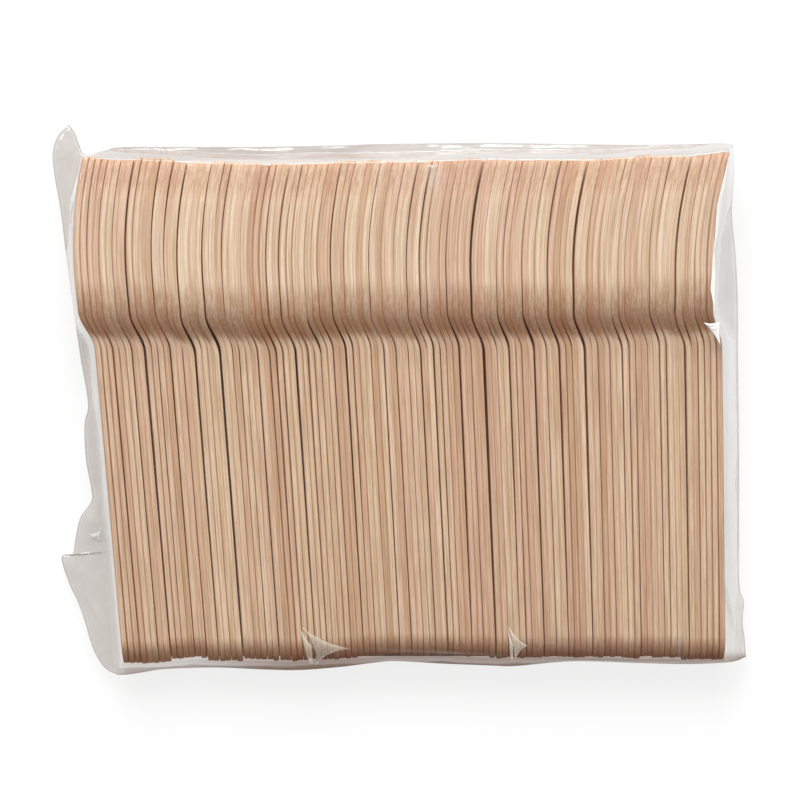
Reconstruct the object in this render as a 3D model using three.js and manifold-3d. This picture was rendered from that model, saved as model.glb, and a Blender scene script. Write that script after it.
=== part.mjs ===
// A clear film bag that holds one hundred nested wooden forks, lying on its side.
// Millimetres. X runs through the stack from fork to fork, Y along the forks to their
// tips, and Z up from the surface that the pack lies on.
import * as THREE from 'three';
import { mergeVertices } from 'three/addons/utils/BufferGeometryUtils.js';
import Module from 'manifold-3d';

const wasm = await Module();
wasm.setup();

// Fork, lengths one after another from the handle's end to the tips
const handleLength = 101;
const neckLength = 9;
const shoulderLength = 12;
const bowlLength = 16;
const tineLength = 22;
const tipTaper = 12;

// Fork, widths and thickness
const handleEndWidth = 16;
const neckWidth = 11;
const headWidth = 26;
const tipWidth = 21.6;
const slotCount = 3;
const slotTipWidth = 2.8;
const slotRootWidth = 1.6;
const tineTipRound = 0.7;
const forkThickness = 1.8;

// Fork, how far the pressed bowl drops below the handle and the tips curl back up
const bowlDrop = 3.6;
const tipRise = 7.7;

// Stack: it fans out from the handles' ends, where the forks of a pair touch
const pairCount = 50;
const contactDepth = 0.03;
const pairGap = 0.26;
const leanFirst = THREE.MathUtils.degToRad(5.3);
const leanLast = THREE.MathUtils.degToRad(0.7);

// Film bag, and the room between it and the wood
const filmWall = 0.08;
const filmGap = 0.3;
const leftRoomAtHandle = 6.6;
const leftRoomAtBowl = 1.1;
const leftRoomAtTips = 9.6;
const rightRoomAtHandle = 6;
const rightRoomAtTips = 4.2;
const roomPastHandles = 2;
const roomPastTips = 3.4;
const filmSag = 0.5;
const filmEndSlope = 0.3;
const ventDiameter = 3;
const ventDepth = 1;
const ventShare = 0.75;

// Loose corners of the bag, where its two layers lie on each other
const finThickness = 4 * filmWall;
const finRoot = 3;
const earHeight = 7;
const earWidth = 7.5;
const earLength = 30;
const flapReach = 9;
const flapLength = 43;
const flapPeakAlong = 33;
const flapDrop = 2.4;
const cornerReach = 2;
const cornerLength = 20;

// Number of straight pieces in a round stretch. The outermost forks show their faces.
const plainSteps = { end: 3, shoulder: 2, root: 0, tip: 1 };
const fineSteps = { end: 8, shoulder: 4, root: 4, tip: 2 };
const filmLevels = 6;
const ventSides = 12;

const neckEnd = handleLength + neckLength;
const shoulderEnd = neckEnd + shoulderLength;
const rootAlong = shoulderEnd + bowlLength;
const forkLength = rootAlong + tineLength;
const taperAlong = forkLength - tipTaper;
const bendStations = [0, handleLength, neckEnd, shoulderEnd, rootAlong, forkLength];

// Solids

function toSolid(geometry) {
  const bare = geometry.clone();
  bare.deleteAttribute('normal');
  bare.deleteAttribute('uv');
  const merged = mergeVertices(bare, 1e-5);
  return new wasm.Manifold(new wasm.Mesh({
    numProp: 3,
    vertProperties: merged.attributes.position.array,
    triVerts: Uint32Array.from(merged.index.array),
  }));
}

function toGeometry(solid) {
  const mesh = solid.getMesh();
  const geometry = new THREE.BufferGeometry();
  geometry.setAttribute('position', new THREE.BufferAttribute(mesh.vertProperties, 3));
  geometry.setIndex(new THREE.BufferAttribute(mesh.triVerts, 1));
  geometry.computeVertexNormals();
  return geometry;
}

function extrude(points, depth) {
  return new THREE.ExtrudeGeometry(new THREE.Shape(points), { depth, bevelEnabled: false });
}

function arc(centreX, centreY, radius, from, to, steps) {
  const points = [];
  for (let i = 0; i <= steps; i += 1) {
    const angle = from + ((to - from) * i) / steps;
    points.push(new THREE.Vector2(
      centreX + radius * Math.cos(angle),
      centreY + radius * Math.sin(angle),
    ));
  }
  return points;
}

// Fork, seen from its side: the pressed line through the middle of the wood

function pressedOffset(along) {
  const down = THREE.MathUtils.clamp((along - handleLength) / neckLength, 0, 1);
  const curl = Math.max(0, (along - shoulderEnd) / (forkLength - shoulderEnd));
  return tipRise * curl * curl - bowlDrop * down;
}

// One surface of the wood. The press closes square to the handle, so the thickness
// measured that way is the same all along.

function surfacePoints(side) {
  return bendStations.map((along) => new THREE.Vector2(
    pressedOffset(along) + (side * forkThickness) / 2,
    along,
  ));
}

function pressedBand() {
  const outline = [...surfacePoints(1), ...surfacePoints(-1).reverse()];
  const width = headWidth + 2 * forkThickness;
  return extrude(outline, width).translate(0, 0, -width / 2);
}

// Fork, seen from its face: handle, shoulders and tines

function shoulderHalfWidth(along) {
  const t = (along - handleLength) / (shoulderEnd - handleLength);
  return THREE.MathUtils.lerp(neckWidth, headWidth, t * (2 - t)) / 2;
}

function shoulderPoints(steps) {
  const stations = [handleLength, neckEnd, shoulderEnd];
  if (steps > 2) {
    for (let i = 1; i < steps; i += 1) {
      const along = THREE.MathUtils.lerp(handleLength, shoulderEnd, i / steps);
      stations.push(along);
    }
    stations.sort((a, b) => a - b);
  }
  return stations.map((along) => new THREE.Vector2(shoulderHalfWidth(along), along));
}

// A slot ends in a half round, or in a plain point on the forks inside the stack

function slotRoot(centre, steps) {
  if (steps === 0) return [new THREE.Vector2(centre, rootAlong)];
  return arc(centre, rootAlong, slotRootWidth / 2, 0, -Math.PI, steps);
}

// The tips of the tines from right to left, with the roots of the slots between them

function tinePoints(steps) {
  const tineCount = slotCount + 1;
  const tineTip = (tipWidth - slotCount * slotTipWidth) / tineCount;
  const points = [];
  for (let i = 0; i < tineCount; i += 1) {
    const right = tipWidth / 2 - i * (tineTip + slotTipWidth);
    const left = right - tineTip;
    if (steps.tip > plainSteps.tip) {
      points.push(new THREE.Vector2(right, forkLength - tineTipRound));
      points.push(new THREE.Vector2(right - tineTipRound, forkLength));
      points.push(new THREE.Vector2(left + tineTipRound, forkLength));
      points.push(new THREE.Vector2(left, forkLength - tineTipRound));
    } else {
      points.push(new THREE.Vector2(right - tineTipRound / 2, forkLength));
      points.push(new THREE.Vector2(left + tineTipRound / 2, forkLength));
    }
    if (i < slotCount) {
      const share = (i + 1) / tineCount - 0.5;
      points.push(...slotRoot(-share * headWidth, steps.root));
    }
  }
  return points;
}

function forkOutline(steps) {
  const radius = handleEndWidth / 2;
  const end = arc(0, radius, radius, -Math.PI, 0, steps.end);
  const rightSide = [
    ...shoulderPoints(steps.shoulder),
    new THREE.Vector2(headWidth / 2, taperAlong),
  ];
  const leftSide = rightSide.map((point) => new THREE.Vector2(-point.x, point.y)).reverse();
  return [...end, ...rightSide, ...tinePoints(steps), ...leftSide];
}

function forkGeometry(steps) {
  const reach = 4 * (bowlDrop + tipRise + forkThickness);
  const blank = extrude(forkOutline(steps), reach).translate(0, 0, -reach / 2);
  blank.rotateY(Math.PI / 2);
  return toGeometry(toSolid(pressedBand()).intersect(toSolid(blank)));
}

// Stack of pairs. Each fork leans a little less than the one on its left.

const pitchInPair = forkThickness - contactDepth;
const pitchBetweenPairs = forkThickness + pairGap;
const pairPitch = pitchInPair + pitchBetweenPairs;
const leanStep = (leanFirst - leanLast) / (2 * pairCount - 1);

function pairGeometry(firstSteps, secondSteps) {
  const first = forkGeometry(firstSteps);
  const second = forkGeometry(secondSteps).rotateZ(-leanStep).translate(pitchInPair, 0, 0);
  return toGeometry(toSolid(first).add(toSolid(second)));
}

function pairLean(index) {
  return leanFirst - 2 * index * leanStep;
}

function pairX(index) {
  return (index - (pairCount - 1) / 2) * pairPitch - pitchInPair / 2;
}

// The forks lie on the side of the head and on the side of the handle's end
const handleHalf = handleEndWidth / 2;
const restTilt = Math.atan((headWidth - handleEndWidth) / 2 / (shoulderEnd - handleHalf));
const handleCentreHeight = filmWall + filmGap + handleHalf;

function woodTop(along, halfWidth) {
  return handleCentreHeight + (along - handleHalf) * Math.tan(restTilt) + halfWidth;
}

const wood = new THREE.MeshStandardMaterial({ color: 0xcdad88, roughness: 0.75, metalness: 0 });
const endGeometries = {
  first: pairGeometry(fineSteps, plainSteps),
  last: pairGeometry(plainSteps, fineSteps),
};
const middleGeometry = pairGeometry(plainSteps, plainSteps);

const stack = new THREE.Group();
for (let index = 0; index < pairCount; index += 1) {
  let geometry = middleGeometry;
  if (index === 0) geometry = endGeometries.first;
  if (index === pairCount - 1) geometry = endGeometries.last;
  const pair = new THREE.Mesh(geometry, wood);
  pair.name = `fork_pair_${String(index + 1).padStart(2, '0')}`;
  pair.position.x = pairX(index);
  pair.rotation.z = pairLean(index);
  stack.add(pair);
}
stack.rotation.x = restTilt;
stack.position.z = handleCentreHeight - handleHalf * Math.sin(restTilt);

// Film bag. Stations run along the forks, each with the wood's two sides and its top.

function placedIn(index, second) {
  const lean = pairLean(index);
  return (point) => {
    const placed = point.clone();
    if (second) placed.rotateAround(new THREE.Vector2(), -leanStep).add(secondStart);
    return placed.rotateAround(new THREE.Vector2(), lean).add(new THREE.Vector2(pairX(index), 0));
  };
}

const secondStart = new THREE.Vector2(pitchInPair, 0);
const leftWood = surfacePoints(-1).map(placedIn(0, false));
const rightWood = surfacePoints(1).map(placedIn(pairCount - 1, true));

function woodAt(line, along) {
  let index = bendStations.findIndex((station) => station >= along);
  index = Math.max(index, 1);
  const from = bendStations[index - 1];
  const t = (along - from) / (bendStations[index] - from);
  return new THREE.Vector2().lerpVectors(line[index - 1], line[index], t);
}

function straightX(from, to, y) {
  return THREE.MathUtils.mapLinear(y, from.y, to.y, from.x, to.x);
}

// The film is pulled straight from corner to corner, and on the left over the bowl
const leftHandleCorner = leftWood[0].clone().add(new THREE.Vector2(-leftRoomAtHandle, 0));
const leftBowlTouch = leftWood[3].clone().add(new THREE.Vector2(-leftRoomAtBowl, 0));
const leftTipCorner = leftWood[5].clone().add(new THREE.Vector2(-leftRoomAtTips, 0));
const rightHandleCorner = rightWood[0].clone().add(new THREE.Vector2(rightRoomAtHandle, 0));
const rightTipCorner = rightWood[5].clone().add(new THREE.Vector2(rightRoomAtTips, 0));

function leftFilmX(y) {
  if (y < leftBowlTouch.y) return straightX(leftHandleCorner, leftBowlTouch, y);
  return straightX(leftBowlTouch, leftTipCorner, y);
}

function rightFilmX(y) {
  return straightX(rightHandleCorner, rightTipCorner, y);
}

// Half the width of a fork between the middle of its handle's end and its shoulders

function gripHalfWidth(along) {
  if (along > handleLength) return shoulderHalfWidth(along);
  return THREE.MathUtils.mapLinear(along, handleHalf, handleLength, handleHalf, neckWidth / 2);
}

// Over the handles the film sags from a straight span some of the way down to the wood

function filmTop(along) {
  const overHandle = woodTop(handleHalf, handleHalf);
  const overShoulder = woodTop(shoulderEnd, headWidth / 2);
  const overTips = woodTop(forkLength, tipWidth / 2);
  const overTaper = woodTop(taperAlong, headWidth / 2);
  let top = THREE.MathUtils.mapLinear(along, handleHalf, shoulderEnd, overHandle, overShoulder);
  if (along < handleHalf) {
    top = overHandle - (handleHalf - along) * filmEndSlope;
  } else if (along > taperAlong) {
    top = THREE.MathUtils.mapLinear(along, taperAlong, forkLength, overTaper, overTips);
  } else if (along > shoulderEnd) {
    top = THREE.MathUtils.mapLinear(along, shoulderEnd, taperAlong, overShoulder, overTaper);
  } else {
    top = THREE.MathUtils.lerp(top, woodTop(along, gripHalfWidth(along)), filmSag);
  }
  return top + filmGap + filmWall;
}

const bagStations = [...bendStations, handleHalf, handleLength / 2, taperAlong];
bagStations.sort((a, b) => a - b);

// One closed form of the bag, drawn in from its outer surface by the inset

function bagForm(inset) {
  const last = bagStations.length - 1;
  const form = new THREE.BoxGeometry(1, 1, 1, 1, last, filmLevels);
  const position = form.attributes.position;
  for (let i = 0; i < position.count; i += 1) {
    const across = position.getX(i) + 0.5;
    const station = Math.round((position.getY(i) + 0.5) * last);
    const up = position.getZ(i) + 0.5;
    const swell = 4 * up * (1 - up);
    const along = bagStations[station];
    const left = woodAt(leftWood, along);
    const right = woodAt(rightWood, along);
    const leftEdge = left.x - filmGap - filmWall;
    const rightEdge = right.x + filmGap + filmWall;
    const leftX = THREE.MathUtils.lerp(leftEdge, leftFilmX(left.y), swell) + inset;
    const rightX = THREE.MathUtils.lerp(rightEdge, rightFilmX(right.y), swell) - inset;
    let y = THREE.MathUtils.lerp(left.y, right.y, across);
    if (station === 0) y += inset - filmGap - filmWall - roomPastHandles * swell;
    if (station === last) y += filmGap + filmWall - inset + roomPastTips * swell;
    const top = filmTop(along) - inset;
    position.setXYZ(
      i,
      THREE.MathUtils.lerp(leftX, rightX, across),
      y,
      THREE.MathUtils.lerp(inset, top, up),
    );
  }
  return toSolid(form);
}

// A loose corner: both layers of film lying on each other, level with the seam

function fin(shape, height) {
  const geometry = new THREE.ExtrudeGeometry(shape, {
    depth: finThickness,
    bevelEnabled: false,
    curveSegments: 4,
  });
  geometry.translate(0, 0, height - finThickness / 2);
  return toSolid(geometry);
}

function ear() {
  const x = leftTipCorner.x;
  const y = leftTipCorner.y + roomPastTips;
  const foot = leftTipCorner.y - earLength;
  const shape = new THREE.Shape();
  shape.moveTo(leftFilmX(foot) + finRoot, foot);
  shape.quadraticCurveTo(x - 0.2 * earWidth, y - 0.4 * earLength, x, y - 0.1 * earHeight);
  shape.quadraticCurveTo(x, y + 0.9 * earHeight, x + 0.45 * earWidth, y + earHeight);
  shape.quadraticCurveTo(x + 0.9 * earWidth, y + 0.9 * earHeight, x + earWidth, y - finRoot);
  return fin(shape, filmTop(forkLength) / 2);
}

function flap() {
  const top = flapLength;
  const peak = new THREE.Vector2(leftFilmX(flapPeakAlong) - flapReach, flapPeakAlong);
  const low = new THREE.Vector2(leftFilmX(0), 0);
  const shape = new THREE.Shape();
  shape.moveTo(leftFilmX(top) + finRoot, top);
  shape.lineTo(leftFilmX(top) - 0.5 * flapReach, 0.45 * top + 0.55 * peak.y);
  shape.lineTo(peak.x, peak.y);
  shape.quadraticCurveTo(low.x - 0.5 * flapReach, 0.4 * peak.y, low.x - 0.2 * flapReach, low.y);
  const under = low.y - roomPastHandles - flapDrop;
  shape.quadraticCurveTo(low.x, under, low.x + leftRoomAtHandle, under);
  shape.lineTo(low.x + leftRoomAtHandle + finRoot, low.y - roomPastHandles + finThickness);
  shape.lineTo(low.x + finRoot, low.y + finRoot);
  return fin(shape, filmTop(0) / 2);
}

function rightCorner() {
  const shape = new THREE.Shape();
  const foot = -roomPastHandles;
  shape.moveTo(rightFilmX(foot) - finRoot, foot + finThickness);
  shape.lineTo(rightFilmX(foot) + cornerReach, foot + finThickness);
  shape.quadraticCurveTo(
    rightFilmX(cornerLength) + cornerReach,
    0.7 * cornerLength,
    rightFilmX(cornerLength) - finRoot,
    cornerLength,
  );
  return fin(shape, filmTop(0) / 2);
}

function vent() {
  const along = ventShare * forkLength;
  const reach = 2 * rightRoomAtHandle;
  const hole = new THREE.CylinderGeometry(ventDiameter / 2, ventDiameter / 2, reach, ventSides);
  hole.rotateZ(Math.PI / 2);
  hole.translate(rightFilmX(along) + reach / 2 - ventDepth, along, filmTop(along) / 2);
  return toSolid(hole);
}

const filmMaterial = new THREE.MeshStandardMaterial({
  color: 0xf2f3f3,
  roughness: 0.15,
  metalness: 0,
  transparent: true,
  opacity: 0.3,
});
const filmSolid = bagForm(0)
  .add(ear())
  .add(flap())
  .add(rightCorner())
  .subtract(bagForm(filmWall))
  .subtract(vent());
const filmBag = new THREE.Mesh(toGeometry(filmSolid), filmMaterial);
filmBag.name = 'film_bag';

// The origin is under the middle of the pack
const pack = new THREE.Group();
pack.add(stack, filmBag);
pack.updateMatrixWorld(true);
const box = new THREE.Box3().setFromObject(pack, true);
const middle = box.getCenter(new THREE.Vector3());
pack.position.set(-middle.x, -middle.y, -box.min.z);

export default pack;
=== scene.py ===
"""Looks of a clear film bag that holds one hundred nested wooden forks, lying on its side.

Lengths inside the classes are millimetres, in the part's own frame: X runs through the stack,
Y along the forks to their tips, Z up. Meshes are written in metres.
"""

import logging
import math
from collections.abc import Sequence
from dataclasses import dataclass, field
from enum import Enum

import bmesh
import bpy
import numpy as np
from bpy.types import ID, Material, Mesh, Node, NodeTree, Object
from bpy.types import NodeSocket as Socket
from mathutils import Matrix, Vector, noise


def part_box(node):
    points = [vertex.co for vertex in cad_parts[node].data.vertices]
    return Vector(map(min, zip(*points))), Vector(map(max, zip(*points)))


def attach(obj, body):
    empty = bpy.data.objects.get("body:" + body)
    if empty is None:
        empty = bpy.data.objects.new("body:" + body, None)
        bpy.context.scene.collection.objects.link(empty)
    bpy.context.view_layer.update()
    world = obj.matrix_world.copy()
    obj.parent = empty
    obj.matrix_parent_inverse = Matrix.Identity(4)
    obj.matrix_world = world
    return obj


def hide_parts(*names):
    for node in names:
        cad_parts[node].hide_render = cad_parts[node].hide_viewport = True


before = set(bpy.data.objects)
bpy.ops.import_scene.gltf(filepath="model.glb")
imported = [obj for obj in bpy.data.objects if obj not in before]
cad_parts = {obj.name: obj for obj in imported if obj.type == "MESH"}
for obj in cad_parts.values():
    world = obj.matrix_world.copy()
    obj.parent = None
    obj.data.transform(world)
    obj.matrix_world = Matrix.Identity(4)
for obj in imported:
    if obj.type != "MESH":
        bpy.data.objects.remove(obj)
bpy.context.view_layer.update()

MM = 0.001
LOG = logging.getLogger("fork_pack")
Array = np.ndarray
Pair = tuple[float, float]
Triple = tuple[float, float, float]
Colour = tuple[float, float, float, float]
Pixels = tuple[Pair, ...]

BLACK: Colour = (0.0, 0.0, 0.0, 1.0)
WHITE: Colour = (1.0, 1.0, 1.0, 1.0)


class Side(Enum):
    """The four sides of the bag's outline, seen from above."""

    LEFT = "left"
    RIGHT = "right"
    BOTTOM = "bottom"
    TOP = "top"


def smooth(t: Array | float) -> Array | float:
    """Return the smooth step of a share of the way, level at 0 and at 1."""
    t = np.clip(t, 0.0, 1.0)
    return t * t * (3.0 - 2.0 * t)


def arc(x: float, y: float, radius: float, start: float, turn: float,
        steps: int) -> list[Pair]:
    """Return points round the centre x and y, from a start angle through a turn in steps."""
    angles = [start + turn * i / steps for i in range(steps + 1)]
    return [(x + radius * math.cos(a), y + radius * math.sin(a)) for a in angles]


def add_object(name: str, data: ID) -> Object:
    """Link a mesh in metres, a camera or a lamp into the scene, at the origin."""
    made = bpy.data.objects.new(name, data)
    bpy.context.scene.collection.objects.link(made)
    return made


def store(mesh: Mesh, **values: Sequence[float]) -> None:
    """Store a number for each point of a mesh, under each of the names given."""
    for name, numbers in values.items():
        mesh.attributes.new(name, "FLOAT", "POINT").data.foreach_set("value", numbers)


@dataclass(frozen=True)
class PhotoView:
    """The camera over the pack, and where a pixel of the photograph lies on the part."""

    pixel: float = 0.315
    centre_x: float = 401.4
    centre_y: float = 400.5
    image_width: float = 800.0
    distance: float = 1300.0
    sharp_height: float = 27.0
    sensor: float = 36.0

    def at(self, px: float, py: float, height: float = 27.0) -> Vector:
        """Return the point at a height that shows at a pixel.

        Args:
            px: Pixels from the photograph's left edge.
            py: Pixels from its top edge.
            height: Millimetres above the floor.

        Returns:
            The point in millimetres.
        """
        near = (self.distance - height) / (self.distance - self.sharp_height)
        x = (px - self.centre_x) * self.pixel * near
        y = (self.centre_y - py) * self.pixel * near
        return Vector((x, y, height))

    def make_camera(self) -> None:
        """Create the camera straight above the pack, and make it the scene's camera."""
        data = bpy.data.cameras.new("photo_camera")
        data.sensor_width = self.sensor
        reach = self.distance - self.sharp_height
        data.lens = self.sensor * reach / (self.image_width * self.pixel)
        camera = add_object("photo_camera", data)
        half = self.image_width / 2
        aim = self.at(half, half, 0.0)
        camera.location = (aim.x * MM, aim.y * MM, self.distance * MM)
        bpy.context.scene.camera = camera


class Nodes:
    """A node tree, with short calls to add and join its nodes."""

    def __init__(self, tree: NodeTree) -> None:
        """Work on the tree of a material, the world or a modifier."""
        self.tree = tree

    def put(self, socket: Socket, value: object) -> None:
        """Link an input to another node's output, or set it to a plain value."""
        if isinstance(value, Socket):
            self.tree.links.new(value, socket)
        else:
            socket.default_value = value

    def add(self, kind: str, *values: object, **settings: object) -> Node:
        """Add a node.

        Args:
            kind: The node's type name; a shader node's goes without ShaderNode.
            values: A socket or plain value for each of its first inputs.
            settings: Properties of the node by name.

        Returns:
            The node.
        """
        node = self.tree.nodes.new(kind if "Node" in kind else f"ShaderNode{kind}")
        for key, value in settings.items():
            setattr(node, key, value)
        for socket, value in zip(node.inputs, values):
            self.put(socket, value)
        return node

    def feed(self, node: Node, **values: object) -> Node:
        """Set or link a node's inputs by name.

        Args:
            node: The node to feed.
            values: Sockets or plain values by input, with _ for a space.

        Returns:
            The same node.
        """
        for key, value in values.items():
            wanted = key.replace("_", " ").lower()
            self.put(next(s for s in node.inputs if s.name.lower() == wanted and s.enabled), value)
        return node

    def math(self, operation: str, *values: object) -> Socket:
        """Return what a Math node makes of sockets and numbers."""
        return self.add("Math", *values, operation=operation).outputs[0]

    def read(self, name: str, output: str = "Fac") -> Socket:
        """Return the mesh's own attribute of that name."""
        return self.add("Attribute", attribute_name=name).outputs[output]

    def mix(self, share: object, first: object, second: object, blend: str = "MIX") -> Socket:
        """Return two colours mixed.

        Args:
            share: How much of the second, as a socket or number.
            first: A colour or a socket.
            second: A colour or a socket.
            blend: The way they mix.

        Returns:
            The mixed colour's socket.
        """
        node = self.add("Mix", share, data_type="RGBA", blend_type=blend)
        self.put(node.inputs[6], first)
        self.put(node.inputs[7], second)
        return node.outputs[2]

    def noise(self, where: Socket, scale: float, detail: float = 2.0,
              rough: float = 0.5) -> Socket:
        """Return the strength of a noise pattern of that scale, detail and roughness."""
        return self.feed(self.add("TexNoise"), Vector=where, Scale=scale, Detail=detail,
                         Roughness=rough).outputs["Fac"]

    def stretch(self, where: Socket, scale: Triple) -> Socket:
        """Return coordinates stretched by a Mapping node."""
        return self.feed(self.add("Mapping"), Vector=where, Scale=scale).outputs[0]

    def ramp(self, value: Socket, *stops: tuple[float, Colour]) -> Socket:
        """Return a colour ramp's colour.

        Args:
            value: The share along the ramp.
            stops: Places on the ramp with their colours, in order.

        Returns:
            The colour's socket.
        """
        node = self.add("ValToRGB", value)
        elements = node.color_ramp.elements
        while len(elements) < len(stops):
            elements.new(0.5)
        for element, (place, colour) in zip(elements, stops):
            element.position = place
            element.color = colour
        return node.outputs[0]

    def fade(self, value: Socket, low: float, high: float) -> Socket:
        """Return a value that goes from 0 at the low place to 1 at the high one."""
        return self.ramp(value, (low, BLACK), (high, WHITE))


class Paint(Nodes):
    """The node tree of a material."""

    def __init__(self, name: str) -> None:
        """Start an empty material of that name."""
        self.material = bpy.data.materials.new(name)
        self.material.use_nodes = True
        super().__init__(self.material.node_tree)
        self.tree.nodes.clear()

    def finish(self, shader: Node) -> Material:
        """Join the surface's shader to the output, and return the material."""
        self.add("OutputMaterial", shader.outputs[0])
        return self.material


@dataclass(frozen=True)
class BirchFinish:
    """Raw birch veneer: its tone changes from fork to fork, with fine grain along the wood,
    painted shade on one side, the edges, shoulders and handles, and a faint painted glow on the
    broad faces.
    """

    pale: Colour = (0.78, 0.64, 0.49, 1.0)
    rosy: Colour = (0.68, 0.48, 0.36, 1.0)
    straw: Colour = (0.69, 0.54, 0.38, 1.0)
    tan: Colour = (0.57, 0.38, 0.24, 1.0)
    line: Colour = (0.50, 0.30, 0.17, 1.0)
    # End grain and painted shade: the brown for edges across the grain, strongest on the
    # shoulders, where it also stands in for their shade.
    end_grain_and_shade: Colour = (0.50, 0.18, 0.05, 1.0)
    end_grain_and_shade_share: float = 0.82
    # Painted shade: the next two colours darken the rounded edges of the forks, in place of the
    # shade in the gaps between them.
    face: Colour = (0.70, 0.42, 0.25, 1.0)
    deep_gap_shade: Colour = (0.32, 0.12, 0.04, 1.0)
    deep_gap_shade_share: float = 0.42
    # Painted light: a faint warm glow on the broad faces, for light bounced into the gaps between
    # the forks.
    glow: Colour = (1.0, 0.42, 0.17, 1.0)
    glow_strength: float = 0.035
    # Painted shade: this colour darkens the handles, up to the neck.
    handle_shade: Colour = (0.92, 0.88, 0.84, 1.0)
    late_wood: Colour = (0.70, 0.60, 0.50, 1.0)
    early_wood: Colour = (1.06, 1.06, 1.06, 1.0)
    tint_share: float = 0.6
    band_share: float = 0.85
    pore_share: float = 0.55
    fleck_share: float = 0.3
    shade_share: float = 0.35
    # How much more end-grain brown, with its painted shade, each fork gets from its rim value.
    end_grain_and_shade_more: float = 0.35
    # How strong the painted edge shade is on each fork, from its rim value.
    rim_share: float = 0.15
    rim_more: float = 0.7
    # Where the painted handle shade ends, along the fork.
    handle_shade_end: float = 103.0
    half_thickness: float = 0.9
    grain_scale: Triple = (2.6, 0.03, 1.1)
    pore_scale: Triple = (6.0, 0.13, 5.0)
    fleck_scale: Triple = (3.5, 1.1, 3.0)
    roughness: float = 0.62

    def fork_colour(self, n: Nodes) -> Socket:
        """Return the colour of each fork's own piece of veneer."""
        body = n.ramp(n.read("tone"), (0.0, self.tan), (0.2, self.rosy), (0.45, self.pale),
                      (0.75, self.straw), (1.0, self.pale))
        return n.mix(n.math("MULTIPLY", n.read("tint"), self.tint_share), body, self.rosy)

    def make(self) -> Material:
        """Build the wood's material from each fork's own tone and flat coordinates."""
        n = Paint("birch")
        grain, across, own = n.read("grain", "Vector"), n.read("across"), n.read("rim")
        bands = n.noise(n.stretch(grain, self.grain_scale), 1.0, 3.0, 0.6)
        bands = n.ramp(bands, (0.38, self.late_wood), (0.58, self.early_wood))
        body = n.mix(self.band_share, self.fork_colour(n), bands, "MULTIPLY")
        pores = n.noise(n.stretch(grain, self.pore_scale), 1.0, 2.0, 0.7)
        pore_line = n.ramp(pores, (0.33, WHITE), (0.46, BLACK))
        fleck = n.fade(n.noise(n.stretch(grain, self.fleck_scale), 1.0, 1.0, 0.5), 0.66, 0.78)
        shade = n.fade(n.math("MULTIPLY", across, n.read("side")), 0.05, 0.8)
        for mask, share, colour in ((pore_line, self.pore_share, self.line),
                                    (fleck, self.fleck_share, self.tan),
                                    (shade, self.shade_share, self.tan)):
            body = n.mix(n.math("MULTIPLY", mask, share), body, colour)
        # End grain and painted shade: edges that run across the grain turn brown, most on the
        # shoulders, also standing in for the shade on their slopes.
        end_grain_and_shade = n.math("MULTIPLY", n.read("end_grain"),
                     n.math("MULTIPLY_ADD", own, self.end_grain_and_shade_more, self.end_grain_and_shade_share))
        body = n.mix(end_grain_and_shade, body, self.end_grain_and_shade)
        # Painted shade: the rounded edges turn brown, or near black on some forks, for the shade
        # in the gaps between forks; the broad faces are left out.
        outer = n.math("DIVIDE", n.math("ABSOLUTE", across), self.half_thickness)
        turned = n.add("SeparateXYZ", n.add("NewGeometry").outputs["Normal"])
        flat = n.ramp(n.math("ABSOLUTE", turned.outputs["X"]), (0.85, WHITE),
                      (0.97, (0.25, 0.25, 0.25, 1.0)))
        edge = n.math("MULTIPLY", n.fade(outer, 0.62, 0.95), flat)
        dark = n.math("GREATER_THAN", own, 1.0 - self.deep_gap_shade_share)
        strength = n.math("MULTIPLY_ADD", own, self.rim_more, self.rim_share)
        body = n.mix(n.math("MULTIPLY", edge, strength), body,
                     n.mix(dark, self.face, self.deep_gap_shade))
        # Painted shade: the handles are darkened up to the neck.
        handle = n.math("LESS_THAN", n.read("along"), self.handle_shade_end)
        body = n.mix(handle, body, self.handle_shade, "MULTIPLY")
        bump = n.feed(n.add("Bump"), Strength=0.35, Distance=0.00012, Height=pores)
        # Painted light: the broad faces glow faintly warm, for light bounced into the gaps between
        # the forks.
        through = n.math("MULTIPLY_ADD", flat, -self.glow_strength, self.glow_strength)
        n.material.cycles.emission_sampling = "NONE"
        return n.finish(n.feed(n.add("BsdfPrincipled"), Base_Color=body,
                               Roughness=self.roughness, Normal=bump.outputs[0],
                               Emission_Color=self.glow, Emission_Strength=through))


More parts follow.
